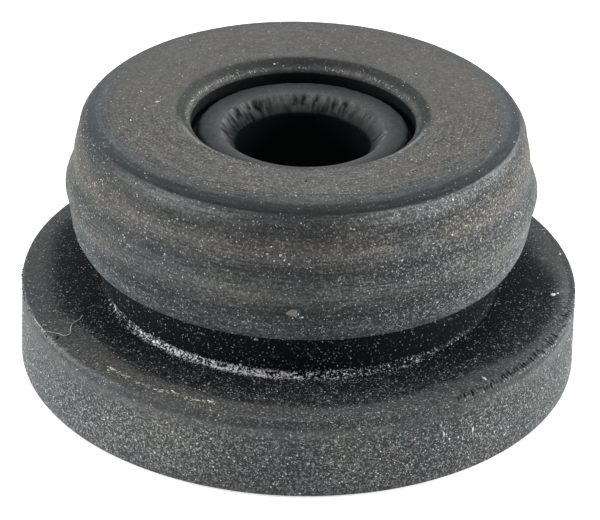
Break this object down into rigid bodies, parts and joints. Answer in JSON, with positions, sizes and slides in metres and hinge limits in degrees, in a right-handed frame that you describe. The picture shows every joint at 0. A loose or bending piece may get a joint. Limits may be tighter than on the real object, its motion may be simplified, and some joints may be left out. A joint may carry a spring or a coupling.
{
  "type": "rubber plug",
  "caption": "Round moulded rubber plug with a thick flange, a grooved neck, a ribbed head and a through bore in a shallow counterbore.",
  "frame": {"origin": "centre of the flange's flat underside, on the axis of the bore", "axes": "+Z along the bore, from the flange towards the head; the plug is round, so X and Y are free"},
  "size_m": [0.024, 0.024, 0.0115],
  "materials": {
    "moulded_rubber": "dull black moulded rubber with a grey bloom and fine pale dust"
  },
  "bodies": {
    "root": {"rubber_plug": "moulded_rubber"}
  },
  "joints": []
}
